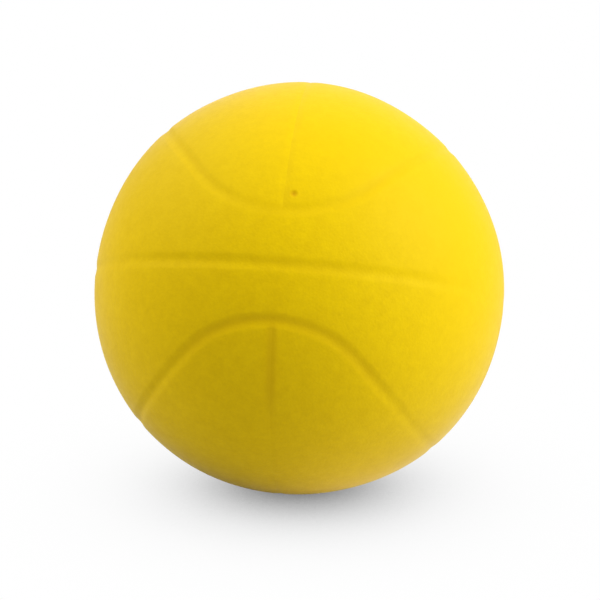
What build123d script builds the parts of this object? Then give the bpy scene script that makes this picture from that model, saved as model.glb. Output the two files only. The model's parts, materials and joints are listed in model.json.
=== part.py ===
from build123d import *
import math
import os

# A moulded rubber dodgeball. A bladder with a needle valve is wound with thread and covered with six
# rubber panels, whose edges meet at the bottom of the channels that the mould presses into the cover.
#
# The ball is built about its centre in its pole frame: +Z is the pole, the middle channel lies in XY and
# the rounded ends of the loops face -Y and +Y. It is then laid the way it rests on a floor.

# Ball, in millimetres
BALL_DIAMETER = 178.0

# Layers of the wall, from the outside in
COVER_THICKNESS = 3.0
WINDING_THICKNESS = 0.6
BLADDER_THICKNESS = 0.8
BOND_LINE = 0.05

# Channels in the cover: width from shoulder to shoulder and depth at the middle
CHANNEL_WIDTH = 6.8
CHANNEL_DEPTH = 0.45
CAP_LINE_WIDTH = 5.4
CAP_LINE_DEPTH = 0.3
# Height above the cover at which a channel's shoulder curve would end level
SHOULDER_LIP = 0.06
# Gap between neighbouring panels at the bottom of a channel
SEAM_GAP = 0.1

# Layout of the loops, in degrees: lean of their straight legs from the pole, latitude of their rounded ends
LOOP_LEG_LEAN = 44.3
LOOP_END_LATITUDE = 13.8

# Place of the valve, along the surface: above the upper loop's front end and right of the line inside it
VALVE_RISE = 6.8
VALVE_OFFSET = 3.75

# Valve plug
NEEDLE_HOLE_DIAMETER = 2.0
NEEDLE_HOLE_DEPTH = 8.0
PLUG_WALL = 0.8
PLUG_HEAD_RIM = 0.4
PLUG_LEDGE = 1.0
PLUG_LENGTH = 17.0
PLUG_CLEARANCE = 0.05
SLIT_WIDTH = 1.6
SLIT_GAP = 0.15

# Valve housing and the patch that backs it
TUBE_WALL = 1.7
TUBE_OVERHANG = 2.0
NECK_WALL = 2.2
FLANGE_RIM = 10.0
FLANGE_THICKNESS = 1.5
PATCH_RIM = 6.0
PATCH_THICKNESS = 0.6

# How the ball lies, in degrees: turn about the pole, then lean of the pole to the back and to the right
SPIN = -6.8
LEAN_BACK = 17.6
LEAN_RIGHT = 4.95

# Radii that follow from the sizes above
BALL_RADIUS = BALL_DIAMETER / 2
COVER_INNER = BALL_RADIUS - COVER_THICKNESS
WINDING_OUTER = COVER_INNER - BOND_LINE
WINDING_INNER = WINDING_OUTER - WINDING_THICKNESS
BLADDER_OUTER = WINDING_INNER - BOND_LINE
BLADDER_INNER = BLADDER_OUTER - BLADDER_THICKNESS
PATCH_OUTER = BLADDER_INNER - BOND_LINE
PATCH_INNER = PATCH_OUTER - PATCH_THICKNESS
FLANGE_OUTER = PATCH_INNER - BOND_LINE
FLANGE_INNER = FLANGE_OUTER - FLANGE_THICKNESS
NEEDLE_RADIUS = NEEDLE_HOLE_DIAMETER / 2
STEM_RADIUS = NEEDLE_RADIUS + PLUG_WALL
HEAD_RADIUS = STEM_RADIUS + PLUG_HEAD_RIM
STEM_BORE = STEM_RADIUS + PLUG_CLEARANCE
TUBE_RADIUS = STEM_BORE + TUBE_WALL
NECK_RADIUS = STEM_BORE + NECK_WALL
NECK_HOLE = NECK_RADIUS + BOND_LINE
FLANGE_RADIUS = NECK_RADIUS + FLANGE_RIM
PATCH_RADIUS = FLANGE_RADIUS + PATCH_RIM

# Heights along the valve axis, from the centre of the ball
HEAD_SEAT = COVER_INNER + PLUG_LEDGE
PLUG_END = BALL_RADIUS - PLUG_LENGTH
NEEDLE_HOLE_END = BALL_RADIUS - NEEDLE_HOLE_DEPTH
TUBE_END = PLUG_END - TUBE_OVERHANG

# Reach of the tools that cut the ball
REACH = 2 * BALL_DIAMETER
# Lean that keeps the poles of the round faces away from every channel
FACE_POLE_LEAN = 68.0


class LoopEnd:
    """The rounded end of a loop: a small circle that both legs run into without a kink."""

    def __init__(self, leg_lean, end_latitude):
        lean = math.radians(leg_lean)
        low = math.radians(end_latitude)
        centre = math.atan(math.sin(low) / (math.cos(low) - math.sin(lean)))
        radius = centre - low
        meet = math.acos(math.cos(centre) / math.cos(radius))
        chord = math.atan2(math.sin(meet) * math.cos(lean), math.cos(meet))
        self.radius = math.degrees(radius)
        # angle along a leg, from the front point of the middle channel, where the leg meets the rounded end
        self.meet = math.degrees(meet)
        # half of the rounded end's arc, to each side of its point furthest from the pole
        self.half_arc = math.degrees(math.acos(math.tan(radius) / math.tan(centre)))
        self.axis_plane = Plane(
            origin=(0, 0, 0),
            x_dir=(0, math.sin(centre), math.cos(centre)),
            z_dir=(0, -math.cos(centre), math.sin(centre)),
        )
        # plane through the ball's centre and the two points where the legs meet the rounded end
        self.chord_plane = Plane(
            origin=(0, 0, 0),
            x_dir=(1, 0, 0),
            z_dir=(0, math.sin(chord), math.cos(chord)),
        )


def ball(radius):
    """A full ball of the given radius."""
    return Rot(0, FACE_POLE_LEAN, 0) * Sphere(radius)


def shell(outer, inner):
    """A hollow ball."""
    return ball(outer) - ball(inner)


def half_space(plane):
    """A block that fills the space on the outward side of a plane."""
    return plane * Box(REACH, REACH, REACH, align=(Align.CENTER, Align.CENTER, Align.MIN))


def loop_sector(leg_lean, end_latitude):
    """Everything inside the upper loop, seen from the centre of the ball."""
    end = LoopEnd(leg_lean, end_latitude)
    half_width = REACH * math.tan(math.radians(leg_lean))
    wedge_face = Plane.XZ * Polygon((0, 0), (half_width, REACH), (-half_width, REACH), align=None)
    wedge = extrude(wedge_face, amount=REACH, both=True)
    cone_radius = REACH * math.tan(math.radians(end.radius))
    cone = end.axis_plane * Cone(0, cone_radius, REACH, align=(Align.CENTER, Align.CENTER, Align.MIN))
    block_side = 4 * REACH
    block = Box(block_side, block_side, REACH, align=(Align.CENTER, Align.CENTER, Align.MAX))
    tip = end.chord_plane * block - cone
    return wedge - tip - Rot(0, 0, 180) * tip


def channel_profile(width, depth):
    """Section of a channel in XZ: a round bottom between two round shoulders, at the surface on +X."""
    half = width / 2
    rise = depth + SHOULDER_LIP
    slope = 2 * math.atan(rise / half)
    top = BALL_RADIUS + SHOULDER_LIP
    middle = top - rise / 2
    bottom = BALL_RADIUS - depth
    floor_arc = ThreePointArc((middle, -half / 2), (bottom, 0), (middle, half / 2))
    left_arc = TangentArc((middle, -half / 2), (top, -half), tangent=(math.sin(slope), -math.cos(slope)))
    right_arc = TangentArc((middle, half / 2), (top, half), tangent=(math.sin(slope), math.cos(slope)))
    lid = Line((top, -half), (top, half))
    return Plane.XZ * make_face([floor_arc, left_arc, right_arc, lid])


def channel(profile, axis_plane, polar_angle, start, arc):
    """A channel's cutter: its section carried round an axis at a polar angle, over an arc from a start."""
    at_start = Rot(0, 0, start) * Rot(0, polar_angle - 90, 0) * profile
    return axis_plane * revolve(at_start, axis=Axis.Z, revolution_arc=arc)


def middle_channel():
    """Cutter of the channel round the middle of the ball."""
    return channel(channel_profile(CHANNEL_WIDTH, CHANNEL_DEPTH), Plane.XY, 90, 0, 360)


def loop_channel():
    """Cutters of the upper loop's channel: two straight legs and two rounded ends."""
    profile = channel_profile(CHANNEL_WIDTH, CHANNEL_DEPTH)
    end = LoopEnd(LOOP_LEG_LEAN, LOOP_END_LATITUDE)
    lean = math.radians(LOOP_LEG_LEAN)
    leg_plane = Plane(origin=(0, 0, 0), x_dir=(0, -1, 0), z_dir=(-math.cos(lean), 0, math.sin(lean)))
    leg = channel(profile, leg_plane, 90, end.meet, 180 - 2 * end.meet)
    rounded = channel(profile, end.axis_plane, end.radius, 180 - end.half_arc, 2 * end.half_arc)
    half_turn = Rot(0, 0, 180)
    return [leg, rounded, half_turn * leg, half_turn * rounded]


def cap_line():
    """Cutter of the line inside the upper loop, from its front end over the pole to its back end."""
    profile = channel_profile(CAP_LINE_WIDTH, CAP_LINE_DEPTH)
    line_plane = Plane(origin=(0, 0, 0), x_dir=(0, -1, 0), z_dir=(-1, 0, 0))
    return channel(profile, line_plane, 90, LOOP_END_LATITUDE, 180 - 2 * LOOP_END_LATITUDE)


def valve_plane():
    """Plane at the centre of the ball whose +Z runs out along the valve."""
    latitude = math.radians(LOOP_END_LATITUDE) + VALVE_RISE / BALL_RADIUS
    across = math.cos(latitude)
    longitude = VALVE_OFFSET / (BALL_RADIUS * across)
    outward = (across * math.sin(longitude), -across * math.cos(longitude), math.sin(latitude))
    return Plane(origin=(0, 0, 0), x_dir=(math.cos(longitude), math.sin(longitude), 0), z_dir=outward)


def valve_cylinder(radius, low, high):
    """A cylinder on the valve axis between two heights."""
    upright = Cylinder(radius, high - low, align=(Align.CENTER, Align.CENTER, Align.MIN))
    return valve_plane() * Pos(0, 0, low) * upright


def band_panel():
    """Cover panel between the middle channel and the upper loop."""
    above_middle = half_space(Plane.XY.offset(SEAM_GAP / 2))
    panel = shell(BALL_RADIUS, COVER_INNER) & above_middle
    panel = panel - loop_sector(LOOP_LEG_LEAN, LOOP_END_LATITUDE)
    return panel - [middle_channel(), *loop_channel()]


def cap_panel():
    """Cover panel inside the upper loop, on the +X side of its line."""
    gap_angle = math.degrees(SEAM_GAP / BALL_RADIUS)
    right_of_line = half_space(Plane.YZ.offset(SEAM_GAP / 2))
    sector = loop_sector(LOOP_LEG_LEAN - gap_angle, LOOP_END_LATITUDE + gap_angle)
    panel = shell(BALL_RADIUS, COVER_INNER) & sector & right_of_line
    return panel - [cap_line(), *loop_channel()]


def plug_hole():
    """Cutter of the stepped hole in the cover that the plug's head and stem go through."""
    head_hole = valve_cylinder(HEAD_RADIUS + PLUG_CLEARANCE, HEAD_SEAT, REACH)
    stem_hole = valve_cylinder(STEM_BORE, TUBE_END, HEAD_SEAT)
    return [head_hole, stem_hole]


def carcass_layer(outer, inner):
    """A hollow ball under the cover, with a hole for the valve's neck."""
    return shell(outer, inner) - valve_cylinder(NECK_HOLE, TUBE_END, REACH)


def on_ball(radius, offset):
    """Point of a half section: a distance from the valve axis, and the height there on a ball."""
    return (offset, math.sqrt(radius**2 - offset**2))


def ball_arc(radius, first, last):
    """Arc on a ball in a half section, between two distances from the valve axis."""
    return ThreePointArc(on_ball(radius, first), on_ball(radius, (first + last) / 2), on_ball(radius, last))


def about_valve(lines):
    """The solid that a closed half section makes when it is turned about the valve axis."""
    section = Plane.XZ * make_face(lines)
    return valve_plane() * revolve(section, axis=Axis.Z)


def valve_patch():
    """Washer bonded to the inside of the bladder, round the housing's neck."""
    lines = [
        ball_arc(PATCH_OUTER, NECK_HOLE, PATCH_RADIUS),
        Line(on_ball(PATCH_OUTER, PATCH_RADIUS), on_ball(PATCH_INNER, PATCH_RADIUS)),
        ball_arc(PATCH_INNER, PATCH_RADIUS, NECK_HOLE),
        Line(on_ball(PATCH_INNER, NECK_HOLE), on_ball(PATCH_OUTER, NECK_HOLE)),
    ]
    return about_valve(lines)


def valve_housing():
    """Flange under the patch, with a neck out to the cover and a tube that points at the ball's centre."""
    neck_top = WINDING_OUTER
    lines = [
        ball_arc(neck_top, STEM_BORE, NECK_RADIUS),
        Line(on_ball(neck_top, NECK_RADIUS), on_ball(FLANGE_OUTER, NECK_RADIUS)),
        ball_arc(FLANGE_OUTER, NECK_RADIUS, FLANGE_RADIUS),
        Line(on_ball(FLANGE_OUTER, FLANGE_RADIUS), on_ball(FLANGE_INNER, FLANGE_RADIUS)),
        ball_arc(FLANGE_INNER, FLANGE_RADIUS, TUBE_RADIUS),
        Line(on_ball(FLANGE_INNER, TUBE_RADIUS), (TUBE_RADIUS, TUBE_END)),
        Line((TUBE_RADIUS, TUBE_END), (STEM_BORE, TUBE_END)),
        Line((STEM_BORE, TUBE_END), on_ball(neck_top, STEM_BORE)),
    ]
    return about_valve(lines)


def valve_plug():
    """Self-sealing plug: a head flush with the cover, a stem with the needle hole, and a slit below it."""
    lines = [
        ball_arc(BALL_RADIUS, NEEDLE_RADIUS, HEAD_RADIUS),
        Line(on_ball(BALL_RADIUS, HEAD_RADIUS), (HEAD_RADIUS, HEAD_SEAT)),
        Line((HEAD_RADIUS, HEAD_SEAT), (STEM_RADIUS, HEAD_SEAT)),
        Line((STEM_RADIUS, HEAD_SEAT), (STEM_RADIUS, PLUG_END)),
        Line((STEM_RADIUS, PLUG_END), (0, PLUG_END)),
        Line((0, PLUG_END), (0, NEEDLE_HOLE_END)),
        Line((0, NEEDLE_HOLE_END), (NEEDLE_RADIUS, NEEDLE_HOLE_END)),
        Line((NEEDLE_RADIUS, NEEDLE_HOLE_END), on_ball(BALL_RADIUS, NEEDLE_RADIUS)),
    ]
    slit_block = Box(SLIT_WIDTH, SLIT_GAP, NEEDLE_HOLE_END - PLUG_END)
    slit = valve_plane() * Pos(0, 0, (NEEDLE_HOLE_END + PLUG_END) / 2) * slit_block
    return about_valve(lines) - slit


def build_pieces():
    """Every piece by its node's name, in the pole frame."""
    half_turn = Rot(0, 0, 180)
    upside_down = Rot(0, 180, 0)
    band = band_panel()
    cap = cap_panel()
    return {
        "upper_band_panel": band,
        "lower_band_panel": upside_down * band,
        "upper_right_cap_panel": cap - plug_hole(),
        "upper_left_cap_panel": half_turn * cap,
        "lower_right_cap_panel": upside_down * half_turn * cap,
        "lower_left_cap_panel": upside_down * cap,
        "winding": carcass_layer(WINDING_OUTER, WINDING_INNER),
        "bladder": carcass_layer(BLADDER_OUTER, BLADDER_INNER),
        "valve_patch": valve_patch(),
        "valve_housing": valve_housing(),
        "valve_plug": valve_plug(),
    }


def main():
    """Lay the ball as it rests and write one file for each piece."""
    lay = Rot(0, LEAN_RIGHT, 0) * Rot(-LEAN_BACK, 0, 0) * Rot(0, 0, SPIN)
    os.makedirs("parts", exist_ok=True)
    for name, piece in build_pieces().items():
        export_step(lay * piece, os.path.join("parts", f"{name}.step"))
    outward = (lay * valve_plane().location).z_axis.direction
    print("valve axis:", [round(value, 6) for value in outward])


main()
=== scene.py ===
"""A moulded rubber dodgeball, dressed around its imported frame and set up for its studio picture.

Lengths are in metres and angles in radians where nothing else is said.
"""

import json
import logging
import math
from collections.abc import Callable
from dataclasses import dataclass, field
from enum import Enum

import bpy
import numpy as np
from mathutils import Matrix, Vector


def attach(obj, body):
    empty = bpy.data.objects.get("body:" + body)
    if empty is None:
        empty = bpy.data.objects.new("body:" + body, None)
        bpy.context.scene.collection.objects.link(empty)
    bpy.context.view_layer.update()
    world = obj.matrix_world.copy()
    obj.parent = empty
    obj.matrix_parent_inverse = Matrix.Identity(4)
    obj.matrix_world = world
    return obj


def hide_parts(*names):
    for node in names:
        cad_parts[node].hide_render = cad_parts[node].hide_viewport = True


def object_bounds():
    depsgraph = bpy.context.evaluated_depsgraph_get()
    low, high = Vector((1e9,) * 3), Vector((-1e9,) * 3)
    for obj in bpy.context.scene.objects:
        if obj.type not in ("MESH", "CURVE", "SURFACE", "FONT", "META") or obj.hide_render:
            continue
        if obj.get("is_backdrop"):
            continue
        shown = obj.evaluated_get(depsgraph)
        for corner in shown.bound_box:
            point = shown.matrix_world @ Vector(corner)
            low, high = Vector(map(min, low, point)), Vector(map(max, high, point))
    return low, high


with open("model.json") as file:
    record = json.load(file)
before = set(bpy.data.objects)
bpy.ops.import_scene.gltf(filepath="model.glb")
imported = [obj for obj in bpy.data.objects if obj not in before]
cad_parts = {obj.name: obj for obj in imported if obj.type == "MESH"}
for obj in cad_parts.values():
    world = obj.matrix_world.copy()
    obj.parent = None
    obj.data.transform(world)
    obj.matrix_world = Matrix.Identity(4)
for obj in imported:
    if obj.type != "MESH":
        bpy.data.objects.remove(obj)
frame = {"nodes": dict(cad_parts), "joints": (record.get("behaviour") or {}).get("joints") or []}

log = logging.getLogger("dodgeball")

# Short names for types
Array = np.ndarray
Pair = tuple[float, float]
Triple = tuple[float, float, float]
Piece = bpy.types.Object
Material = bpy.types.Material
Socket = bpy.types.NodeSocket
Feed = float | tuple | Socket

MM = 0.001

# Body names and attribute names that pieces and finishes share
BALL_BODY = "ball"
PLUG_BODY = "plug"
# Attribute with the share of painted shade: a darker tint that stands in for shade in channels and in the
# needle hole
PAINTED_SHADE_ATTRIBUTE = "painted_shade_share"
CALM_ATTRIBUTE = "calm_share"

WHITE = (1.0, 1.0, 1.0, 1.0)
# Part of a face's normal along an axis past which the face counts as looking that way
FACING = 0.5


class BandPlace(Enum):
    """Where a band panel sits: the signs that turn the upper band's net into its place."""

    UPPER = (1, 1, 1)
    LOWER = (-1, 1, -1)


class CapPlace(Enum):
    """Where a cap panel sits: the signs that turn the upper right cap's net into its place."""

    UPPER_RIGHT = (1, 1, 1)
    UPPER_LEFT = (-1, -1, 1)
    LOWER_RIGHT = (1, -1, -1)
    LOWER_LEFT = (-1, 1, -1)


@dataclass(frozen=True)
class Spacing:
    """Steps of a net along one direction, crowded into a zone at both ends, where the channels are.

    Attributes:
        steps: number of faces along the direction.
        zone_steps: how many of them lie in each end zone.
        zone: length of an end zone.
    """

    steps: int
    zone_steps: int
    zone: float = 5.0 * MM

    def distances(self, fraction: Array, length: Array | float) -> Array:
        """Place each step along a span.

        Args:
            fraction: step number as a share of all steps, from 0 to 1.
            length: length of the span.

        Returns:
            Distance of each step from the start of the span.
        """
        share = self.zone_steps / self.steps
        near = np.minimum(fraction, share) / share * self.zone
        far = np.maximum(fraction - (1 - share), 0) / share * self.zone
        middle = np.clip((fraction - share) / (1 - 2 * share), 0, 1) * (length - 2 * self.zone)
        return near + middle + far


@dataclass(frozen=True)
class SoftArea:
    """A round area of the ball that fades out towards its edge.

    Attributes:
        middle: direction of its middle from the ball's centre.
        full: angle from the middle up to which it has its full strength, in degrees.
        end: angle from the middle at which it ends, in degrees.
        strength: what it adds in its middle.
    """

    middle: Triple
    full: float
    end: float
    strength: float

    def strength_at(self, directions: Array) -> Array:
        """What the area adds to the ball.

        Args:
            directions: unit directions from the ball's centre as it lies, one a row.

        Returns:
            What it adds in each direction.
        """
        middle = np.array(self.middle)
        angle = np.degrees(np.arccos(np.clip(directions @ middle / np.linalg.norm(middle), -1, 1)))
        fade = np.clip((self.end - angle) / (self.end - self.full), 0, 1)
        return self.strength * fade * fade * (3 - 2 * fade)

    @staticmethod
    def total(areas: tuple["SoftArea", ...], directions: Array) -> Array:
        """What several areas together add in each unit direction."""
        return sum(area.strength_at(directions) for area in areas)


@dataclass(frozen=True)
class ChannelSection:
    """Cross section of a moulded channel: a bottom that rises into two soft shoulders.

    Attributes:
        width: width from shoulder to shoulder.
        depth: depth at the centre line.
        crease: how sharp the bottom is, from 0 for a round one to 1 for a crease.
        relief: where the channel came out of the mould deeper or shallower, as shares of its depth.
        dust_and_painted_shade: painted shade in it, a darker tint where the channel's shade falls, by area.
    """

    width: float
    depth: float
    crease: float = 0.0
    relief: tuple[SoftArea, ...] = ()
    dust_and_painted_shade: tuple[SoftArea, ...] = ()

    def share_at(self, distance: Array, crease: float) -> Array:
        """Share of what is at the centre line that is left beside it.

        Args:
            distance: distances from the centre line.
            crease: how sharp the middle is, from 0 for a round one to 1 for a crease.

        Returns:
            Shares from 0 to 1.
        """
        reach = np.clip(2 * distance / self.width, 0, 1)
        rounded = (1 + np.cos(math.pi * reach)) / 2
        return rounded + crease * ((1 - reach) ** 2 - rounded)

    def depth_at(self, distance: Array, directions: Array) -> Array:
        """Depth of the channel, at distances from its centre line and in unit directions."""
        gain = SoftArea.total(self.relief, directions)
        return self.depth * self.share_at(distance, self.crease) * (1 + gain)

    def painted_shade_at(self, distance: Array, directions: Array) -> Array:
        """Painted shade in the channel, at distances from its centre line and in unit directions."""
        return self.share_at(distance, 0.0) * SoftArea.total(self.dust_and_painted_shade, directions)


@dataclass(frozen=True)
class ChannelLayout:
    """Centre lines of the channels in the pole frame: +Z is the pole and -Y the front.

    Attributes:
        leg_lean: lean of a loop's straight legs from the pole.
        end_latitude: latitude of a loop's rounded ends.
    """

    leg_lean: float = math.radians(44.3)
    end_latitude: float = math.radians(13.8)

    @property
    def end_centre(self) -> float:
        """Latitude of the centre of a loop's rounded end."""
        low = self.end_latitude
        return math.atan(math.sin(low) / (math.cos(low) - math.sin(self.leg_lean)))

    @property
    def end_radius(self) -> float:
        """Radius of a loop's rounded end, as an angle at the ball's centre."""
        return self.end_centre - self.end_latitude

    @property
    def leg_meet(self) -> float:
        """Angle along a leg, from the front of the middle channel, at which the rounded end begins."""
        return math.acos(math.cos(self.end_centre) / math.cos(self.end_radius))

    @property
    def half_arc(self) -> float:
        """Half of a rounded end's turn, about its own centre."""
        return math.acos(math.tan(self.end_radius) / math.tan(self.end_centre))

    def end_axes(self) -> tuple[Array, Array, Array]:
        """Direction of the front rounded end's centre, and its downward and sideways tangents."""
        low, high = math.sin(self.end_centre), math.cos(self.end_centre)
        return np.array([0, -high, low]), np.array([0, -low, -high]), np.array([1.0, 0, 0])

    def leg_points(self, angle: Array) -> Array:
        """Unit points on the right leg of the upper loop, by angle from the front of the middle channel."""
        side, rise = math.sin(self.leg_lean), math.cos(self.leg_lean)
        return np.stack([np.sin(angle) * side, -np.cos(angle), np.sin(angle) * rise], axis=-1)

    def end_points(self, turn: Array) -> Array:
        """Points on the right half of the front rounded end.

        Args:
            turn: turns about the end's own centre, from its lowest point.

        Returns:
            Unit points in the pole frame, one a row.
        """
        centre, down, side = self.end_axes()
        ring = np.cos(turn)[..., None] * down + np.sin(turn)[..., None] * side
        return math.cos(self.end_radius) * centre + math.sin(self.end_radius) * ring

    def loop_latitude(self, longitude: Array) -> Array:
        """Height of the upper loop round the ball.

        Args:
            longitude: longitudes from the front.

        Returns:
            Latitude of the loop at each longitude.
        """
        across = np.abs(np.sin(longitude))
        toward = np.abs(np.cos(longitude))
        leg = np.arctan(across / math.tan(self.leg_lean))
        flat = math.cos(self.end_centre) * toward
        rise = math.sin(self.end_centre)
        reach = np.clip(math.cos(self.end_radius) / np.hypot(flat, rise), -1, 1)
        rounded = np.arctan2(rise, flat) - np.arccos(reach)
        join = self.leg_points(np.array(self.leg_meet))
        in_end = np.arctan2(across, toward) < math.atan2(join[0], -join[1])
        return np.where(in_end, rounded, leg)

    def middle_distance(self, points: Array) -> Array:
        """Angle from unit points to the channel round the middle of the ball."""
        return np.abs(np.arcsin(np.clip(points[:, 2], -1, 1)))

    def loop_distance(self, points: Array) -> Array:
        """Angle from unit points to the nearer loop.

        Args:
            points: unit points in the pole frame, one a row.

        Returns:
            Angle to the loop's leg or rounded end, whichever lies across from the point.
        """
        folded = np.abs(points) * np.array([1, -1, 1])
        centre, down, side = self.end_axes()
        leg_normal = np.array([math.cos(self.leg_lean), 0, -math.sin(self.leg_lean)])
        to_leg = np.abs(np.arcsin(np.clip(folded @ leg_normal, -1, 1)))
        to_end = np.abs(np.arccos(np.clip(folded @ centre, -1, 1)) - self.end_radius)
        turn = np.arctan2(folded @ side, folded @ down)
        return np.where(turn < self.half_arc, to_end, to_leg)

    def line_distance(self, points: Array) -> Array:
        """Angle from unit points to the nearer line inside a loop, which stops at the loop.

        Args:
            points: unit points in the pole frame, one a row.

        Returns:
            Angle to the line, or to its end from past the end.
        """
        folded = np.abs(points) * np.array([1, -1, 1])
        beside = np.arcsin(np.clip(folded[:, 0], -1, 1))
        line_end = np.array([0, -math.cos(self.end_latitude), math.sin(self.end_latitude)])
        to_end = np.arccos(np.clip(folded @ line_end, -1, 1))
        past_end = np.arctan2(folded[:, 2], -folded[:, 1]) < self.end_latitude
        return np.where(past_end, to_end, beside)


# The mould pressed its channels deeper on this side of the ball
LOWER_LEFT_DEEP = SoftArea((-0.45, -0.83, -0.33), 26, 44, 0.9)


@dataclass(frozen=True)
class BallForm:
    """The outside of the ball: its size, its channels, its unevenness and the way it lies.

    Attributes:
        radius: radius of the ball.
        cover_thickness: thickness of the cover.
        spin: turn about the pole.
        lean_back: lean of the pole to the back, after the turn.
        lean_right: lean of the pole to the right, after that.
        unevenness: height of the soft waves that a moulded cover has.
        wave_length: length of those waves.
        wave_count: number of waves that are added up.
        swells: where the ball is a little out of round, as heights.
        layout: centre lines of the channels.
        middle: section of the channel round the middle of the ball.
        loop: section of the two loops.
        line: section of the lines inside the loops.
        corner_softness: how softly two channels run into each other, less for a higher value.
        calm: where the skin's mottle is fainter, as shares of it.
    """

    radius: float = 89.0 * MM
    cover_thickness: float = 3.0 * MM
    spin: float = math.radians(-6.8)
    lean_back: float = math.radians(17.6)
    lean_right: float = math.radians(4.95)
    unevenness: float = 0.05 * MM
    wave_length: float = 42.0 * MM
    wave_count: int = 7
    swells: tuple[SoftArea, ...] = (
        SoftArea((0.7, -0.29, -0.66), 2, 36, 0.85 * MM),
        SoftArea((-0.64, -0.3, -0.71), 4, 40, 0.65 * MM),
        SoftArea((-0.95, -0.09, 0.28), 2, 38, -1.0 * MM),
        SoftArea((0.09, 0.07, 0.99), 2, 30, 0.5 * MM),
        SoftArea((0.76, -0.01, 0.65), 5, 34, -0.35 * MM),
    )
    layout: ChannelLayout = field(default_factory=ChannelLayout)
    # The channels' darker areas below are painted shade, a tint where shade falls in the channels
    middle: ChannelSection = ChannelSection(
        width=7.4 * MM,
        depth=0.365 * MM,
        relief=(LOWER_LEFT_DEEP, SoftArea((0.93, -0.35, 0.1), 8, 45, -0.85)),
        dust_and_painted_shade=(SoftArea((0.05, -0.95, 0.3), 8, 20, 0.35),),
    )
    loop: ChannelSection = ChannelSection(
        width=7.4 * MM,
        depth=0.33 * MM,
        relief=(
            LOWER_LEFT_DEEP,
            SoftArea((-0.56, -0.33, 0.76), 12, 26, 0.75),
            SoftArea((-0.17, -0.825, 0.54), 4, 11, -0.55),
            SoftArea((0.56, -0.62, -0.55), 8, 28, -0.4),
        ),
        dust_and_painted_shade=(
            SoftArea((-0.04, -1.0, 0.0), 18, 36, 0.75),
            SoftArea((-0.1, -0.78, 0.6), 20, 36, 0.2),
            SoftArea((0.47, -0.58, 0.67), 8, 22, 0.22),
        ),
    )
    line: ChannelSection = ChannelSection(
        width=6.2 * MM,
        depth=0.27 * MM,
        crease=0.8,
        relief=(SoftArea((-0.12, -0.95, -0.3), 25, 45, -0.4),),
        dust_and_painted_shade=(SoftArea((-0.07, -1.0, -0.05), 8, 25, 1.15),),
    )
    corner_softness: float = 5.0
    calm: tuple[SoftArea, ...] = (
        SoftArea((0.45, -0.4, 0.8), 15, 50, 0.6),
        SoftArea((0.85, -0.45, 0.2), 15, 40, 0.5),
        SoftArea((-0.55, -0.4, 0.73), 12, 40, 0.35),
    )

    @property
    def inner_radius(self) -> float:
        """Radius of the inside of the cover."""
        return self.radius - self.cover_thickness

    @property
    def lay(self) -> Array:
        """Rotation from the pole frame to the way the ball lies."""
        right = Matrix.Rotation(self.lean_right, 3, "Y")
        back = Matrix.Rotation(-self.lean_back, 3, "X")
        turn = Matrix.Rotation(self.spin, 3, "Z")
        return np.array(right @ back @ turn)

    def channels(self, directions: Array) -> list[tuple[ChannelSection, Array]]:
        """Each kind of channel, with how far it lies from some directions.

        Args:
            directions: unit directions from the ball's centre as it lies, one a row.

        Returns:
            Sections of the middle channel, the loops and the lines, with distances.
        """
        points = directions @ self.lay
        return [
            (self.middle, self.layout.middle_distance(points) * self.radius),
            (self.loop, self.layout.loop_distance(points) * self.radius),
            (self.line, self.layout.line_distance(points) * self.radius),
        ]

    def channel_depth(self, directions: Array) -> Array:
        """Depth of the channels in each unit direction, rounded where two channels meet."""
        parts = [section.depth_at(distance, directions) for section, distance in self.channels(directions)]
        return sum(part**self.corner_softness for part in parts) ** (1 / self.corner_softness)

    def dust_and_painted_shade(self, directions: Array) -> Array:
        """Share of painted shade in each unit direction, a darker tint in the channels, from 0 to 1."""
        parts = [section.painted_shade_at(distance, directions) for section, distance in self.channels(directions)]
        return np.clip(np.maximum.reduce(parts), 0, 1)

    def calmness(self, directions: Array) -> Array:
        """Share of the skin's mottle that is missing in each unit direction, from 0 to 1."""
        return np.clip(SoftArea.total(self.calm, directions), 0, 1)

    def waves(self, directions: Array) -> Array:
        """Soft waves in the cover.

        Args:
            directions: unit directions from the ball's centre as it lies, one a row.

        Returns:
            Height of the waves in each direction, as a share of their full height.
        """
        golden_turn = math.pi * (3 - math.sqrt(5))
        total = np.zeros(len(directions))
        for number in range(self.wave_count):
            height = 1 - (2 * number + 1) / self.wave_count
            level = math.sqrt(1 - height**2)
            turn = golden_turn * number
            heading = np.array([level * math.cos(turn), level * math.sin(turn), height])
            stretch = self.wave_length * (1 + number / self.wave_count)
            total += np.sin(directions @ heading * (math.tau * self.radius / stretch) + turn)
        return total / self.wave_count

    def surface_radius(self, directions: Array) -> Array:
        """Form of the cover's outside.

        Args:
            directions: unit directions from the ball's centre as it lies, one a row.

        Returns:
            Distance of the outside from the ball's centre in each direction.
        """
        lift = self.unevenness * self.waves(directions)
        swell = SoftArea.total(self.swells, directions)
        return self.radius + lift + swell - self.channel_depth(directions)


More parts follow.
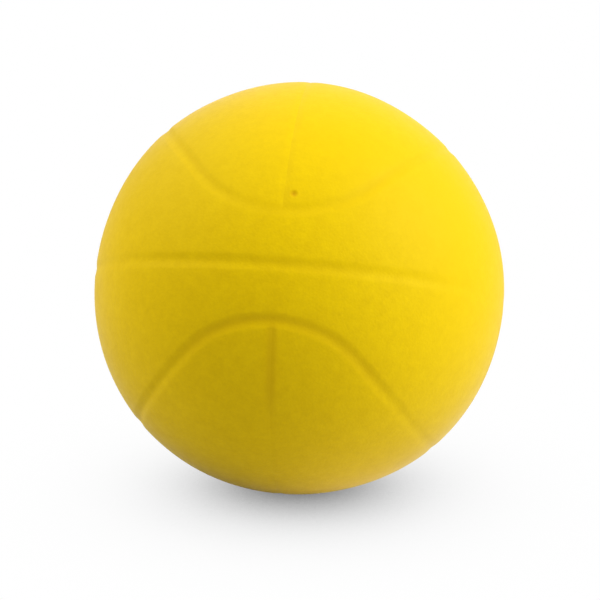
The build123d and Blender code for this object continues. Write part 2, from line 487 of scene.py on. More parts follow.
class Bench:
    """Small steps of mesh work that every piece needs."""

    @staticmethod
    def clear_selection() -> None:
        """Leave nothing selected, so that an operator acts on the new piece alone."""
        bpy.ops.object.select_all(action="DESELECT")

    @staticmethod
    def take(piece: Piece) -> None:
        """Make one object the only one that operators act on.

        Args:
            piece: the object.
        """
        Bench.clear_selection()
        piece.select_set(True)
        bpy.context.view_layer.objects.active = piece

    @staticmethod
    def points(piece: Piece) -> Array:
        """Read a mesh's vertices.

        Args:
            piece: the mesh object.

        Returns:
            Their places, one a row.
        """
        flat = np.empty(len(piece.data.vertices) * 3, np.float32)
        piece.data.vertices.foreach_get("co", flat)
        return flat.reshape(-1, 3).astype(float)

    @staticmethod
    def move_points(piece: Piece, points: Array) -> None:
        """Put a mesh's vertices at new places, one a row."""
        piece.data.vertices.foreach_set("co", points.astype(np.float32).ravel())
        piece.data.update()

    @staticmethod
    def polar(points: Array) -> tuple[Array, Array]:
        """Distance of each point from the ball's centre, and its unit direction."""
        distance = np.linalg.norm(points, axis=1)
        return distance, points / distance[:, None]

    @staticmethod
    def store(piece: Piece, name: str, values: Array) -> None:
        """Keep one named value at each vertex of a mesh."""
        attribute = piece.data.attributes.new(name, "FLOAT", "POINT")
        attribute.data.foreach_set("value", values.astype(np.float32))

    @staticmethod
    def open_edit(piece: Piece, action: str) -> None:
        """Open a piece in edit mode, to pick its faces.

        Args:
            piece: the mesh object.
            action: SELECT to begin with all of them, DESELECT to begin with none.
        """
        Bench.take(piece)
        bpy.ops.object.mode_set(mode="EDIT")
        bpy.ops.mesh.select_mode(type="FACE")
        bpy.ops.mesh.select_all(action=action)

    @staticmethod
    def close_edit() -> None:
        """Go back to object mode."""
        bpy.ops.object.mode_set(mode="OBJECT")

    @staticmethod
    def pick_faces(piece: Piece, test: Callable[[bpy.types.MeshPolygon], bool]) -> None:
        """Open a piece in edit mode with the faces selected that pass a test.

        Args:
            piece: the mesh object.
            test: tells whether a face is wanted.
        """
        Bench.open_edit(piece, "DESELECT")
        Bench.close_edit()
        for face in piece.data.polygons:
            face.select = test(face)
        bpy.ops.object.mode_set(mode="EDIT")

    @staticmethod
    def face_outwards(piece: Piece) -> None:
        """Turn every face of a closed piece outwards.

        Args:
            piece: the mesh object.
        """
        Bench.open_edit(piece, "SELECT")
        bpy.ops.mesh.normals_make_consistent(inside=False)
        Bench.close_edit()

    @staticmethod
    def cut(piece: Piece, cutter: Piece) -> None:
        """Cut one closed piece with another, which is used up.

        Args:
            piece: the piece that keeps what is left.
            cutter: the piece that is taken away from it.
        """
        Bench.take(piece)
        step = piece.modifiers.new("cut", "BOOLEAN")
        step.operation = "DIFFERENCE"
        step.solver = "EXACT"
        step.object = cutter
        bpy.ops.object.modifier_apply(modifier=step.name)
        bpy.data.objects.remove(cutter)

    @staticmethod
    def smooth(piece: Piece, angle: float) -> None:
        """Shade a piece smooth, with edges kept sharp past an angle."""
        Bench.take(piece)
        bpy.ops.object.shade_smooth_by_angle(angle=angle)

    @staticmethod
    def settle(piece: Piece) -> None:
        """Move a piece's place, turn and scale into its mesh."""
        Bench.take(piece)
        bpy.ops.object.transform_apply(location=True, rotation=True, scale=True)

    @staticmethod
    def stepped_pin(sides: int, radii: Pair, top: float, seat: float, drop: float) -> Piece:
        """Make an upright pin of two widths, open in edit mode with its lower end selected.

        Args:
            sides: number of flat faces round the pin.
            radii: radius above and below the step.
            top: height of the upper end.
            seat: height of the step.
            drop: length below the step.

        Returns:
            The pin.
        """
        Bench.clear_selection()
        bpy.ops.mesh.primitive_cylinder_add(
            vertices=sides, radius=radii[0], depth=top - seat, location=(0, 0, (top + seat) / 2)
        )
        piece = bpy.context.object
        Bench.settle(piece)
        Bench.pick_faces(piece, lambda face: face.normal.z < -FACING)
        bpy.ops.mesh.inset(thickness=radii[0] - radii[1])
        bpy.ops.mesh.extrude_region_move(TRANSFORM_OT_translate={"value": (0, 0, -drop)})
        return piece


class NodeSheet:
    """A node tree of a material or a world, with short ways to add its nodes."""

    def __init__(self, owner: Material | bpy.types.World, ending: str) -> None:
        """Start an empty tree.

        Args:
            owner: the material or the world.
            ending: type name of the tree's output node.
        """
        owner.use_nodes = True
        self.tree = owner.node_tree
        self.tree.nodes.clear()
        self.surface = self.add(ending).inputs["Surface"]

    def feed(self, socket: Socket, value: Feed) -> None:
        """Give an input its value, or join an output to it.

        Args:
            socket: the input.
            value: a value, or another node's output.
        """
        if isinstance(value, Socket):
            self.tree.links.new(value, socket)
        else:
            socket.default_value = value

    def fill(self, node: bpy.types.Node, **inputs: Feed) -> None:
        """Feed a node's inputs, by their names with underscores for spaces."""
        for name, value in inputs.items():
            self.feed(node.inputs[name.replace("_", " ")], value)

    def add(self, kind: str, **inputs: Feed) -> bpy.types.Node:
        """Add a node.

        Args:
            kind: the node's type name.
            **inputs: values or outputs for its inputs, see fill.

        Returns:
            The new node.
        """
        node = self.tree.nodes.new(kind)
        self.fill(node, **inputs)
        return node

    def math(self, operation: str, *values: float | Socket) -> Socket:
        """Work out one value from others.

        Args:
            operation: name of the operation.
            *values: numbers or outputs, in the operation's order.

        Returns:
            The result.
        """
        node = self.add("ShaderNodeMath")
        node.operation = operation
        for socket, value in zip(node.inputs, values):
            self.feed(socket, value)
        return node.outputs["Value"]

    def span(self, value: Socket, source: Pair, target: Pair) -> Socket:
        """Stretch a value from its source range to a target range, and hold it inside that."""
        ends = {"From_Min": source[0], "From_Max": source[1], "To_Min": target[0], "To_Max": target[1]}
        return self.add("ShaderNodeMapRange", Value=value, **ends).outputs["Result"]

    def show(self, lit: Socket, seen: Socket) -> None:
        """End the tree with one shader for the light that it gives and one for what is seen of it.

        Args:
            lit: shader that other surfaces are lit by.
            seen: shader that the camera, a reflection or glass sees.
        """
        path = self.add("ShaderNodeLightPath")
        share = path.outputs["Is Camera Ray"]
        for name in ("Is Glossy Ray", "Is Transmission Ray"):
            share = self.math("MAXIMUM", share, path.outputs[name])
        mix = self.add("ShaderNodeMixShader")
        for socket, source in zip(mix.inputs, (share, lit, seen)):
            self.feed(socket, source)
        self.feed(self.surface, mix.outputs["Shader"])


class FinishSheet(NodeSheet):
    """The node tree of a piece's finish, with one shader and the patterns that finishes use."""

    def __init__(self, name: str) -> None:
        """Start a material with one shader.

        Args:
            name: the material's name.
        """
        self.material = bpy.data.materials.new(name)
        super().__init__(self.material, "ShaderNodeOutputMaterial")
        self.shader = self.add("ShaderNodeBsdfPrincipled")
        self.feed(self.surface, self.shader.outputs["BSDF"])
        self.place = self.add("ShaderNodeTexCoord").outputs["Object"]

    def noise(self, size: float, detail: float, roughness: float = 0.5) -> Socket:
        """Cloudy noise.

        Args:
            size: rough size of its patches.
            detail: number of finer layers.
            roughness: strength of the finer layers.

        Returns:
            The noise's value.
        """
        node = self.add("ShaderNodeTexNoise", Vector=self.place, Scale=1 / size)
        self.fill(node, Detail=detail, Roughness=roughness)
        return node.outputs["Fac"]

    def cells(self, size: float, softness: float = 0.6) -> Socket:
        """Rounded cells.

        Args:
            size: rough size of a cell.
            softness: how softly one cell runs into the next.

        Returns:
            Distance from the cell's middle.
        """
        node = self.add("ShaderNodeTexVoronoi", Vector=self.place, Scale=1 / size)
        node.feature = "SMOOTH_F1"
        self.fill(node, Smoothness=softness)
        return node.outputs["Distance"]

    def threads(self, pitch: float, turn: Triple, bend: float = 1.5, layers: float = 2.0) -> Socket:
        """Wavy parallel threads.

        Args:
            pitch: distance from thread to thread.
            turn: turn of the threads about X, Y and Z.
            bend: how far the threads bend to the side.
            layers: number of finer layers in that bend.

        Returns:
            Height of the threads, from 0 to 1.
        """
        turned = self.add("ShaderNodeMapping", Vector=self.place, Rotation=turn).outputs["Vector"]
        waves_per_scale = math.tau / 20
        node = self.add("ShaderNodeTexWave", Vector=turned, Scale=waves_per_scale / pitch)
        self.fill(node, Distortion=bend, Detail=layers)
        return node.outputs["Fac"]

    def attribute(self, name: str) -> Socket:
        """A value that a piece's own vertices hold.

        Args:
            name: the attribute's name.

        Returns:
            The value.
        """
        node = self.add("ShaderNodeAttribute")
        node.attribute_name = name
        return node.outputs["Fac"]

    def blend(self, share: Socket, first: Triple | Socket, last: Triple | Socket) -> Socket:
        """Mix two colours.

        Args:
            share: how much of the last colour there is.
            first: colour where the share is 0.
            last: colour where the share is 1.

        Returns:
            The mixed colour.
        """
        node = self.add("ShaderNodeMix", Factor=share)
        node.data_type = "RGBA"
        sockets = [socket for socket in node.inputs if socket.type == "RGBA"]
        for socket, colour in zip(sockets, (first, last)):
            self.feed(socket, (*colour, 1) if isinstance(colour, tuple) else colour)
        return next(socket for socket in node.outputs if socket.type == "RGBA")

    def relief(self, *layers: tuple[Socket, float]) -> None:
        """Give the shader fine relief.

        Args:
            *layers: heights from 0 to 1, each with its full height.
        """
        previous = None
        for height, distance in layers:
            node = self.add("ShaderNodeBump", Strength=1.0, Distance=distance, Height=height)
            if previous is not None:
                self.fill(node, Normal=previous)
            previous = node.outputs["Normal"]
        self.fill(self.shader, Normal=previous)


@dataclass(frozen=True)
class MouldedSkin:
    """Matt yellow moulded rubber: a fine cloudy mottle, a pebbled grain, and a darker tint of painted shade
    where a piece marks it.
    """

    name: str
    painted_shade_colour: Triple
    painted_shade_strength: float
    pale: Triple = (0.94, 0.648, 0.0015)
    deep: Triple = (0.82, 0.535, 0.001)
    mottle_size: float = 5.0 * MM
    mottle_layers: float = 4.0
    mottle_roughness: float = 0.95
    colour_range: Pair = (0.25, 0.75)
    rough_range: Pair = (0.3, 0.7)
    grain_size: float = 0.9 * MM
    mottle_height: float = 0.045 * MM
    grain_height: float = 0.05 * MM
    smoothest: float = 0.48
    roughest: float = 0.62
    gloss: float = 0.034
    bloom: float = 0.18
    bloom_spread: float = 0.38

    def material(self) -> Material:
        """Build the finish's material.

        Returns:
            The new material.
        """
        sheet = FinishSheet(self.name)
        mottle = sheet.noise(self.mottle_size, self.mottle_layers, self.mottle_roughness)
        grain = sheet.cells(self.grain_size)
        mottled = sheet.blend(sheet.span(mottle, self.colour_range, (0.0, 1.0)), self.pale, self.deep)
        even = tuple((first + last) / 2 for first, last in zip(self.pale, self.deep))
        skin = sheet.blend(sheet.attribute(CALM_ATTRIBUTE), mottled, even)
        # Painted shade: the darker tint where a piece's attribute marks shade
        dust_and_painted_shade = sheet.span(sheet.attribute(PAINTED_SHADE_ATTRIBUTE), (0.0, 1.0), (0.0, self.painted_shade_strength))
        sheet.fill(
            sheet.shader,
            Base_Color=sheet.blend(dust_and_painted_shade, skin, self.painted_shade_colour),
            Roughness=sheet.span(mottle, self.rough_range, (self.smoothest, self.roughest)),
            Specular_IOR_Level=self.gloss,
            Sheen_Weight=self.bloom,
            Sheen_Roughness=self.bloom_spread,
        )
        sheet.relief((mottle, self.mottle_height), (grain, self.grain_height))
        return sheet.material


# The darker colours here are painted shade, for the shade in the channels and in the needle hole's mouth
COVER_SKIN = MouldedSkin("yellow_moulded_skin", painted_shade_colour=(0.76, 0.47, 0.002), painted_shade_strength=0.65)
PLUG_SKIN = MouldedSkin("yellow_plug_skin", painted_shade_colour=(0.68, 0.33, 0.001), painted_shade_strength=0.8)


@dataclass(frozen=True)
class WoundThread:
    """Off-white nylon thread wound every way round the bladder and set in latex."""

    name: str = "wound_nylon_thread"
    thread: Triple = (0.78, 0.76, 0.70)
    latex: Triple = (0.52, 0.47, 0.36)
    pitch: float = 0.7 * MM
    height: float = 0.2 * MM
    lays: tuple[Triple, ...] = (
        (0.3, 0.0, 0.4),
        (0.9, 1.1, 0.2),
        (1.9, 0.4, 1.3),
        (0.5, 2.2, 2.1),
    )
    colour_range: Pair = (0.45, 0.9)
    rough_range: Pair = (0.4, 0.9)
    latex_roughness: float = 0.75
    thread_roughness: float = 0.5
    stain_size: float = 14.0 * MM
    stain_layers: float = 3.0
    stain_range: Pair = (0.45, 0.75)
    stain_strength: float = 0.35

    def material(self) -> Material:
        """Build the finish's material.

        Returns:
            The new material.
        """
        sheet = FinishSheet(self.name)
        heights = [sheet.threads(self.pitch, turn) for turn in self.lays]
        top = heights[0]
        for height in heights[1:]:
            top = sheet.math("MAXIMUM", top, height)
        bare = sheet.blend(sheet.span(top, self.colour_range, (0.0, 1.0)), self.latex, self.thread)
        cloud = sheet.noise(self.stain_size, self.stain_layers)
        stain = sheet.span(cloud, self.stain_range, (0.0, self.stain_strength))
        sheet.fill(
            sheet.shader,
            Base_Color=sheet.blend(stain, bare, self.latex),
            Roughness=sheet.span(top, self.rough_range, (self.latex_roughness, self.thread_roughness)),
        )
        sheet.relief((top, self.height))
        return sheet.material


@dataclass(frozen=True)
class DarkRubber:
    """Dark rubber with a dusty bloom and a grain of its own."""

    name: str
    tone: Triple
    bloom: Triple
    bloom_size: float
    grain_size: float
    grain_height: float
    smoothest: float
    roughest: float
    bloom_layers: float = 4.0
    bloom_roughness: float = 0.6
    bloom_range: Pair = (0.45, 0.75)
    bloom_strength: float = 0.6
    rough_range: Pair = (0.35, 0.7)

    def material(self) -> Material:
        """Build the finish's material.

        Returns:
            The new material.
        """
        sheet = FinishSheet(self.name)
        dust_and_painted_shade = sheet.noise(self.bloom_size, self.bloom_layers, self.bloom_roughness)
        share = sheet.span(dust_and_painted_shade, self.bloom_range, (0.0, self.bloom_strength))
        sheet.fill(
            sheet.shader,
            Base_Color=sheet.blend(share, self.tone, self.bloom),
            Roughness=sheet.span(dust_and_painted_shade, self.rough_range, (self.smoothest, self.roughest)),
        )
        sheet.relief((sheet.cells(self.grain_size), self.grain_height))
        return sheet.material


BUTYL = DarkRubber(
    name="black_butyl",
    tone=(0.028, 0.028, 0.03),
    bloom=(0.075, 0.075, 0.078),
    bloom_size=12.0 * MM,
    grain_size=1.6 * MM,
    grain_height=0.02 * MM,
    smoothest=0.32,
    roughest=0.55,
)
PATCH_SHEET = DarkRubber(
    name="grey_patch_sheet",
    tone=(0.085, 0.085, 0.08),
    bloom=(0.15, 0.148, 0.14),
    bloom_size=5.0 * MM,
    grain_size=0.6 * MM,
    grain_height=0.06 * MM,
    smoothest=0.6,
    roughest=0.8,
)
VALVE_RUBBER = DarkRubber(
    name="black_valve_rubber",
    tone=(0.04, 0.04, 0.041),
    bloom=(0.09, 0.088, 0.085),
    bloom_size=4.0 * MM,
    grain_size=0.4 * MM,
    grain_height=0.015 * MM,
    smoothest=0.42,
    roughest=0.6,
)


@dataclass
class CoverPanel:
    """One panel of the cover, as a closed sheet whose edges meet its neighbours in the channels.

    Attributes:
        name: name of the finished piece.
        node: the solid that it stands for.
        turn: where the panel sits.
        ball: form of the ball's outside.
        along: spacing of the net along the panel.
        across: spacing of the net across the panel.
        edge_angle: angle past which an edge stays sharp.
        merge: distance under which points of the net become one.
    """

    name: str
    node: str
    turn: BandPlace | CapPlace
    ball: BallForm
    along: Spacing
    across: Spacing
    edge_angle: float = math.radians(40)
    merge: float = 0.001 * MM

    def net(self, along: Array, across: Array) -> Array:
        """Points of the panel's net in the pole frame, before it is turned into its place.

        Args:
            along: steps along the panel, from 0 to 1, one for each point.
            across: steps across it, from 0 to 1.

        Returns:
            Unit points, one a row.
        """
        raise NotImplementedError

    def lay_sheet(self) -> Piece:
        """Lay a flat grid on the ball as the panel's outer skin.

        Returns:
            The skin, which has no thickness yet.
        """
        Bench.clear_selection()
        side = 1.0
        bpy.ops.mesh.primitive_grid_add(
            x_subdivisions=self.along.steps, y_subdivisions=self.across.steps, size=side
        )
        piece = bpy.context.object
        piece.name = self.name
        flat = Bench.points(piece) + side / 2
        points = self.net(flat[:, 0], flat[:, 1]) * np.array(self.turn.value)
        Bench.move_points(piece, points @ self.ball.lay.T * self.ball.radius)
        return piece

    def thicken(self, piece: Piece) -> None:
        """Join the skin's own ends and draw it inwards into a closed sheet of the cover's thickness.

        Args:
            piece: the panel's skin.
        """
        shrink = self.ball.inner_radius / self.ball.radius
        Bench.open_edit(piece, "SELECT")
        bpy.ops.mesh.remove_doubles(threshold=self.merge)
        bpy.ops.mesh.extrude_region_move()
        bpy.ops.transform.resize(value=(shrink, shrink, shrink), center_override=(0, 0, 0))
        Bench.close_edit()
        Bench.face_outwards(piece)

    def mould(self, piece: Piece) -> None:
        """Press the channels and the soft waves into the outside of the sheet.

        Args:
            piece: the closed sheet.
        """
        distance, directions = Bench.polar(Bench.points(piece))
        outside = distance > (self.ball.radius + self.ball.inner_radius) / 2
        distance[outside] = self.ball.surface_radius(directions[outside])
        Bench.move_points(piece, directions * distance[:, None])

    def mark_skin(self, piece: Piece) -> None:
        """Store at each vertex how much painted shade lies there and how calm the skin is, from 0 to 1.

        Args:
            piece: the moulded panel.
        """
        directions = Bench.polar(Bench.points(piece))[1]
        Bench.store(piece, PAINTED_SHADE_ATTRIBUTE, self.ball.dust_and_painted_shade(directions))
        Bench.store(piece, CALM_ATTRIBUTE, self.ball.calmness(directions))

    def build(self, finish: Material, hole: "ValveHole | None" = None) -> Piece:
        """Make the finished panel.

        Args:
            finish: the cover's material.
            hole: the valve's hole, on the panel that has it.

        Returns:
            The panel, riding on the ball.
        """
        piece = self.lay_sheet()
        self.thicken(piece)
        self.mould(piece)
        if hole is not None:
            Bench.cut(piece, hole.cutter())
        self.mark_skin(piece)
        Bench.smooth(piece, self.edge_angle)
        piece.data.materials.append(finish)
        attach(piece, BALL_BODY)
        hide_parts(self.node)
        return piece


@dataclass
class BandPanel(CoverPanel):
    """Panel between the middle channel and a loop, all the way round the ball."""

    along: Spacing = Spacing(steps=540, zone_steps=4)
    across: Spacing = Spacing(steps=48, zone_steps=13)

    def net(self, along: Array, across: Array) -> Array:
        """Points from the middle channel up to the loop.

        Args:
            along: steps round the ball, from 0 to 1, one for each point.
            across: steps up from the middle channel, from 0 to 1.

        Returns:
            Unit points, one a row.
        """
        longitude = math.tau * along
        top = self.ball.layout.loop_latitude(longitude) * self.ball.radius
        latitude = self.across.distances(across, top) / self.ball.radius
        level = np.cos(latitude)
        return np.stack([level * np.sin(longitude), -level * np.cos(longitude), np.sin(latitude)], axis=1)


@dataclass
class CapPanel(CoverPanel):
    """Panel inside a loop, on one side of the line that divides it."""

    along: Spacing = Spacing(steps=240, zone_steps=16)
    across: Spacing = Spacing(steps=60, zone_steps=13)

    def net(self, along: Array, across: Array) -> Array:
        """Points between the line, the leg and the two rounded ends.

        Args:
            along: steps along the line from the front, from 0 to 1, one for each point.
            across: steps from the line to the leg, from 0 to 1.

        Returns:
            Unit points, one a row.
        """
        layout = self.ball.layout
        low = layout.end_latitude
        line_length = (math.pi - 2 * low) * self.ball.radius
        width = layout.leg_lean * self.ball.radius
        run = self.along.distances(along, line_length) / line_length
        rise = self.across.distances(across, width) / width
        line_angle = low + run * (math.pi - 2 * low)
        line = np.stack([0 * run, -np.cos(line_angle), np.sin(line_angle)], axis=1)
        leg = layout.leg_points(layout.leg_meet + run * (math.pi - 2 * layout.leg_meet))
        front = layout.end_points(rise * layout.half_arc)
        to_back = np.array([1, -1, 1])
        corner_low = layout.end_points(np.zeros(1))
        corner_high = layout.end_points(np.full(1, layout.half_arc))
        run, rise = run[:, None], rise[:, None]
        sides = (1 - rise) * line + rise * leg + (1 - run) * front + run * front * to_back
        low_corners = (1 - run) * corner_low + run * corner_low * to_back
        high_corners = (1 - run) * corner_high + run * corner_high * to_back
        return Bench.polar(sides - (1 - rise) * low_corners - rise * high_corners)[1]


@dataclass(frozen=True)
class ValveHole:
    """The stepped hole in the cover through which the plug's head and stem go.

    Attributes:
        axis: direction of the valve from the ball's centre.
        ball: form of the ball's outside.
        head_radius: radius of the hole for the head.
        stem_radius: radius of the hole for the stem.
        ledge: height of the step above the inside of the cover.
        sides: number of flat faces round the hole.
        overrun: how far the cutter reaches past the cover on both sides.
    """

    axis: Vector
    ball: BallForm
    head_radius: float = 2.21 * MM
    stem_radius: float = 1.85 * MM
    ledge: float = 1.0 * MM
    sides: int = 96
    overrun: float = 3.0 * MM

    @property
    def seat(self) -> float:
        """Height of the step along the valve, from the ball's centre."""
        return self.ball.inner_radius + self.ledge

    def turn(self) -> Matrix:
        """Rotation that lays +Z along the valve."""
        return self.axis.to_track_quat("Z", "Y").to_matrix().to_4x4()

    def cutter(self) -> Piece:
        """Make the closed shape that cuts the hole.

        Returns:
            The shape, in its place.
        """
        radii = (self.head_radius, self.stem_radius)
        top = self.ball.radius + self.overrun
        piece = Bench.stepped_pin(self.sides, radii, top, self.seat, self.ledge + self.overrun)
        Bench.close_edit()
        piece.matrix_world = self.turn()
        Bench.settle(piece)
        return piece


@dataclass
class ValvePlug:
    """Self-sealing plug: a head level with the cover, a stem with the needle hole and a slit below it.

    Attributes:
        hole: the hole in the cover that the plug sits in.
        name: name of the finished piece.
        node: the solid that it stands for.
        head_gap: gap round the head.
        stem_radius: radius of the stem.
        length: length from the cover to the stem's end.
        needle_depth: depth of the needle hole.
        mouth_radius: radius at which the soft dimple round the needle hole begins.
        mouth_depth: depth of the dimple.
        mouth_steps: number of rings in the dimple.
        throat_radius: radius left below the dimple, where the rubber closes up without a needle.
        fit_depth: depth over which the head's top is fitted to the cover.
        end_round: radius of the stem's rounded end.
        end_segments: number of faces over that rounding.
        slit: width and gap of the slit that a needle parts.
        sides: number of flat faces round the plug.
        top_rings: number of rings of the head's top outside the dimple.
        edge_angle: angle past which an edge stays sharp.
    """

    hole: ValveHole
    name: str = "valve_plug_moulded"
    node: str = "valve_plug"
    head_gap: float = 0.015 * MM
    stem_radius: float = 1.8 * MM
    length: float = 17.0 * MM
    needle_depth: float = 8.0 * MM
    mouth_radius: float = 1.95 * MM
    mouth_depth: float = 0.32 * MM
    mouth_steps: int = 12
    throat_radius: float = 0.16 * MM
    fit_depth: float = 0.7 * MM
    end_round: float = 0.5 * MM
    end_segments: int = 5
    slit: Pair = (1.6 * MM, 0.15 * MM)
    sides: int = 96
    top_rings: int = 3
    edge_angle: float = math.radians(40)

    @property
    def top(self) -> float:
        """Height of the head's top along the valve, from the ball's centre."""
        return self.hole.ball.radius

    @property
    def head_radius(self) -> float:
        """Radius of the head."""
        return self.hole.head_radius - self.head_gap

    def turn_body(self) -> Piece:
        """Shape the head and the stem from a cylinder.

        Returns:
            The plug, upright.
        """
        seat = self.hole.seat
        drop = seat - (self.top - self.length)
        piece = Bench.stepped_pin(self.sides, (self.head_radius, self.stem_radius), self.top, seat, drop)
        piece.name = self.name
        bpy.ops.mesh.region_to_loop()
        bpy.ops.mesh.bevel(offset=self.end_round, segments=self.end_segments, affect="EDGES")
        Bench.close_edit()
        return piece

    def bore(self, piece: Piece) -> None:
        """Sink the needle hole into the head, with rings round it for the head's rounded top.

        Args:
            piece: the plug, upright.
        """
        rim = self.head_radius - self.mouth_radius
        Bench.pick_faces(piece, lambda face: face.normal.z > FACING)
        for _ in range(self.top_rings):
            bpy.ops.mesh.inset(thickness=rim / self.top_rings)
        self.sink_mouth()
        Bench.close_edit()

    def sink_mouth(self) -> None:
        """Draw the selected face down into a soft dimple and on along the narrow rest of the hole."""
        radius, depth = self.mouth_radius, 0.0
        for step in range(1, self.mouth_steps + 1):
            share = step / self.mouth_steps
            narrower = self.mouth_radius + share * (self.throat_radius - self.mouth_radius)
            deeper = self.mouth_depth * (1 - math.cos(math.pi * share)) / 2
            shrink = narrower / radius
            bpy.ops.mesh.extrude_region_move(TRANSFORM_OT_translate={"value": (0, 0, depth - deeper)})
            bpy.ops.transform.resize(value=(shrink, shrink, 1), center_override=(0, 0, 0))
            radius, depth = narrower, deeper
        rest = self.needle_depth - self.mouth_depth
        bpy.ops.mesh.extrude_region_move(TRANSFORM_OT_translate={"value": (0, 0, -rest)})

    def slit_cutter(self) -> Piece:
        """Make the thin block that cuts the slit, from the needle hole to the stem's end.

        Returns:
            The block, upright.
        """
        floor = self.top - self.needle_depth
        end = self.top - self.length
        overlap = 0.2 * MM
        Bench.clear_selection()
        bpy.ops.mesh.primitive_cube_add(size=1, location=(0, 0, (floor + end) / 2))
        piece = bpy.context.object
        piece.scale = (*self.slit, floor - end + 2 * overlap)
        Bench.settle(piece)
        return piece

    def fit_head(self, piece: Piece) -> None:
        """Lift or lower the head's top so that it carries on the form of the cover.

        Args:
            piece: the plug, in its place.
        """
        points = Bench.points(piece)
        distance, directions = Bench.polar(points)
        depth_below = self.top - points @ np.array(self.hole.axis)
        fade = np.clip(1 - depth_below / self.fit_depth, 0, 1)
        change = self.hole.ball.surface_radius(directions) - self.top
        flat_to_round = self.top - depth_below - distance
        Bench.move_points(piece, points + directions * (fade * (change + flat_to_round))[:, None])

    def mark_mouth(self, piece: Piece) -> None:
        """Store painted shade in the mouth of the needle hole, a darker tint that stands in for the hole's
        shade.

        Args:
            piece: the plug, in its place.
        """
        points = Bench.points(piece)
        height = points @ np.array(self.hole.axis)
        aside = np.linalg.norm(points - height[:, None] * np.array(self.hole.axis), axis=1)
        # Painted shade, darkest at the throat and fading out to the dimple's edge
        share = (self.mouth_radius - aside) / (self.mouth_radius - self.throat_radius)
        above_floor = height > self.top - self.needle_depth
        Bench.store(piece, PAINTED_SHADE_ATTRIBUTE, np.clip(share, 0, 1) * above_floor)

    def build(self, finish: Material) -> Piece:
        """Make the finished plug.

        Args:
            finish: the plug's material.

        Returns:
            The plug, riding on its own body.
        """
        piece = self.turn_body()
        self.bore(piece)
        Bench.cut(piece, self.slit_cutter())
        piece.matrix_world = self.hole.turn()
        Bench.settle(piece)
        self.fit_head(piece)
        self.mark_mouth(piece)
        Bench.face_outwards(piece)
        Bench.smooth(piece, self.edge_angle)
        piece.data.materials.append(finish)
        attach(piece, PLUG_BODY)
        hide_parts(self.node)
        return piece


@dataclass
class Carcass:
    """The layers and valve parts under the cover, which keep their solids and get their finishes."""

    finishes: dict[str, Material]

    def dress(self) -> None:
        """Give each inner solid its finish."""
        for node, finish in self.finishes.items():
            slots = frame["nodes"][node].data.materials
            slots.clear()
            slots.append(finish)
            log.info("dressed %s with %s", node, finish.name)


@dataclass(frozen=True)
class SoftLamp:
    """A broad lamp far away, by the direction that its light comes from.

    Attributes:
        name: name of the lamp.
        azimuth: turn from the camera's side towards the right.
        elevation: height above the floor.
        strength: light on a surface that faces the lamp.
        breadth: angle that the lamp spans.
        tint: colour of its light.
    """

    name: str
    azimuth: float
    elevation: float
    strength: float
    breadth: float
    tint: Triple

    def place(self) -> None:
        """Add the lamp to the scene."""
        level = math.cos(self.elevation)
        toward = Vector(
            (level * math.sin(self.azimuth), -level * math.cos(self.azimuth), math.sin(self.elevation))
        )
        data = bpy.data.lights.new(self.name, "SUN")
        data.energy = self.strength
        data.angle = self.breadth
        data.color = self.tint
        lamp = bpy.data.objects.new(self.name, data)
        lamp.rotation_euler = toward.to_track_quat("Z", "Y").to_euler()
        bpy.context.scene.collection.objects.link(lamp)


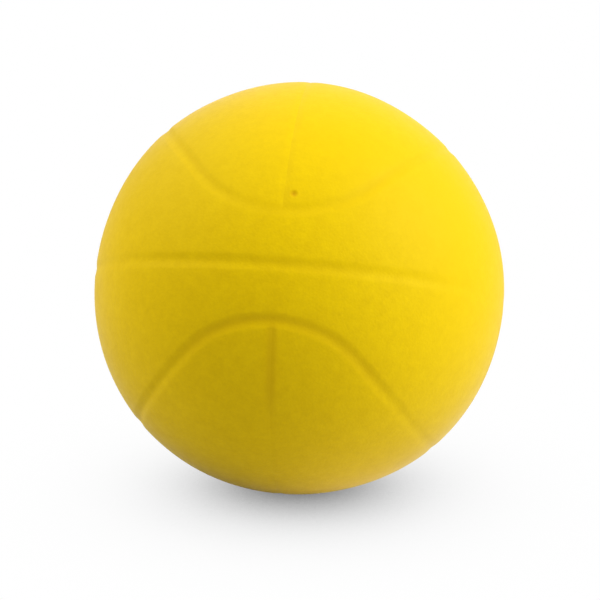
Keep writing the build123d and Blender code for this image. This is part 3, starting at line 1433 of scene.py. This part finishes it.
@dataclass
class Studio:
    """Plain white studio: a floor that keeps the ball's soft shadow, two broad lamps and the camera.

    Attributes:
        floor_level: height of the floor.
        camera_distance: distance from the camera to the ball's centre.
        camera_elevation: height of the camera above the horizon.
        focal_pixels: focal length in picture pixels.
        ball_pixel: where the ball's centre lies in the picture.
        picture_side: side of the square picture, in pixels.
        sensor: width of the camera's sensor, in millimetres.
        floor_side: side of the square floor.
        floor_tone: share of the light that the floor throws back.
        painted_near_tones: the same close to the ball, lower on its left as a painted shadow and higher on
            its right as painted light.
        near_blend: half of the width over which the left blends into the right.
        near_reach: distances from under the ball between which the near tones fade out.
        ambient: light from all round.
        shadow_strength: darkness of the shadow shown under the ball.
        shadow_power: how closely that shadow is drawn in under the ball.
        shadow_samples: rays that feel for the ball from a point of the floor.
        lamps: the two lamps.
    """

    floor_level: float
    camera_distance: float = 623.0 * MM
    camera_elevation: float = math.radians(12.0)
    focal_pixels: float = 1425.0
    ball_pixel: Pair = (298.5, 288.8)
    picture_side: float = 600.0
    sensor: float = 36.0
    floor_side: float = 12.0
    floor_tone: float = 0.54
    painted_near_tones: Pair = (0.3, 0.91)
    near_blend: float = 25.0 * MM
    near_reach: Pair = (70.0 * MM, 115.0 * MM)
    ambient: float = 0.02
    shadow_strength: float = 0.87
    shadow_power: float = 3.3
    shadow_samples: int = 16
    lamps: tuple[SoftLamp, ...] = (
        SoftLamp("right_lamp", math.radians(76), math.radians(33.5), 3.59, math.radians(50), (0.97, 1, 1.3)),
        SoftLamp("left_lamp", math.radians(-93), math.radians(45), 2.52, math.radians(61), (1.01, 1, 0.82)),
    )

    def set_world(self) -> None:
        """Light the scene softly from all round, and show pure white behind it."""
        world = bpy.data.worlds.new("white_room")
        sheet = NodeSheet(world, "ShaderNodeOutputWorld")
        dim = sheet.add("ShaderNodeBackground", Color=WHITE, Strength=self.ambient)
        white = sheet.add("ShaderNodeBackground", Color=WHITE, Strength=1.0)
        sheet.show(dim.outputs["Background"], white.outputs["Background"])
        bpy.context.scene.world = world

    def thrown_back(self, sheet: NodeSheet) -> Socket:
        """Share of the light that each point of the floor throws back, with a painted shadow beside the ball
        on the left and painted light on its right.

        Args:
            sheet: node tree of the floor's material.

        Returns:
            The share.
        """
        place = sheet.add("ShaderNodeTexCoord").outputs["Object"]
        across = sheet.add("ShaderNodeSeparateXYZ", Vector=place).outputs["X"]
        away = sheet.add("ShaderNodeVectorMath", Vector=place)
        away.operation = "LENGTH"
        # Painted shadow on the ball's left and painted light on its right, close to the ball
        near = sheet.span(across, (-self.near_blend, self.near_blend), self.painted_near_tones)
        share = sheet.span(away.outputs["Value"], self.near_reach, (1.0, 0.0))
        return sheet.add("ShaderNodeMix", Factor=share, A=self.floor_tone, B=near).outputs["Result"]

    def floor_material(self) -> Material:
        """White floor: it shows white with the ball's soft shadow, and throws plain light back.

        Returns:
            The new material.
        """
        material = bpy.data.materials.new("white_floor")
        sheet = NodeSheet(material, "ShaderNodeOutputMaterial")
        open_sky = sheet.add("ShaderNodeAmbientOcclusion")
        open_sky.samples = self.shadow_samples
        covered = sheet.math("SUBTRACT", 1.0, open_sky.outputs["AO"])
        drawn_in = sheet.math("POWER", covered, self.shadow_power)
        white = sheet.math("MULTIPLY_ADD", drawn_in, -self.shadow_strength, 1.0)
        matt = sheet.add("ShaderNodeBsdfDiffuse", Color=self.thrown_back(sheet))
        shown = sheet.add("ShaderNodeEmission", Strength=white)
        sheet.show(matt.outputs["BSDF"], shown.outputs["Emission"])
        return material

    def lay_floor(self) -> None:
        """Lay the floor under the ball."""
        Bench.clear_selection()
        bpy.ops.mesh.primitive_plane_add(size=self.floor_side, location=(0, 0, self.floor_level))
        floor = bpy.context.object
        floor.name = "studio_floor"
        floor.data.materials.append(self.floor_material())
        floor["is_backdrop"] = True

    def set_camera(self) -> None:
        """Put the camera where the picture was taken from."""
        level = math.cos(self.camera_elevation)
        toward = Vector((0, -level, math.sin(self.camera_elevation)))
        data = bpy.data.cameras.new("studio_camera")
        data.sensor_width = self.sensor
        data.lens = self.focal_pixels / self.picture_side * self.sensor
        centre = self.picture_side / 2
        data.shift_x = (centre - self.ball_pixel[0]) / self.picture_side
        data.shift_y = (self.ball_pixel[1] - centre) / self.picture_side
        camera = bpy.data.objects.new("studio_camera", data)
        camera.location = toward * self.camera_distance
        camera.rotation_euler = toward.to_track_quat("Z", "Y").to_euler()
        bpy.context.scene.collection.objects.link(camera)
        bpy.context.scene.camera = camera

    def build(self) -> None:
        """Set up the floor, the light and the camera."""
        bpy.context.scene.view_settings.view_transform = "Standard"
        self.set_world()
        self.lay_floor()
        for lamp in self.lamps:
            lamp.place()
        self.set_camera()


def plain_box() -> list[list[float]]:
    """Lowest and highest corner of the shown object, as plain lists."""
    return [list(corner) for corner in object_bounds()]


def build_cover(ball: BallForm, hole: ValveHole, finish: Material) -> None:
    """Make the six panels of the cover.

    Args:
        ball: form of the ball's outside.
        hole: the valve's hole, in the upper right cap.
        finish: the cover's material.
    """
    for level in BandPlace:
        name = level.name.lower()
        panel = BandPanel(f"cover_{name}_band", f"{name}_band_panel", level, ball)
        report(panel.build(finish))
    for corner in CapPlace:
        name = corner.name.lower()
        panel = CapPanel(f"cover_{name}_cap", f"{name}_cap_panel", corner, ball)
        report(panel.build(finish, hole if corner is CapPlace.UPPER_RIGHT else None))


def report(piece: Piece) -> None:
    """Log a finished piece's name and size."""
    log.info("%s: %d vertices, %d faces", piece.name, len(piece.data.vertices), len(piece.data.polygons))


def main() -> None:
    """Build the ball's pieces and its studio, logging each new piece's size."""
    logging.basicConfig(level=logging.INFO, format="%(name)s: %(message)s")
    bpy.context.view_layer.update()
    ball = BallForm()
    hole = ValveHole(Vector(frame["joints"][0]["axis"]).normalized(), ball)
    build_cover(ball, hole, COVER_SKIN.material())
    report(ValvePlug(hole).build(PLUG_SKIN.material()))
    Carcass(
        {
            "winding": WoundThread().material(),
            "bladder": BUTYL.material(),
            "valve_patch": PATCH_SHEET.material(),
            "valve_housing": VALVE_RUBBER.material(),
        }
    ).dress()
    shown_box = plain_box()
    Studio(floor_level=shown_box[0][2]).build()


if __name__ == "__main__":
    main()
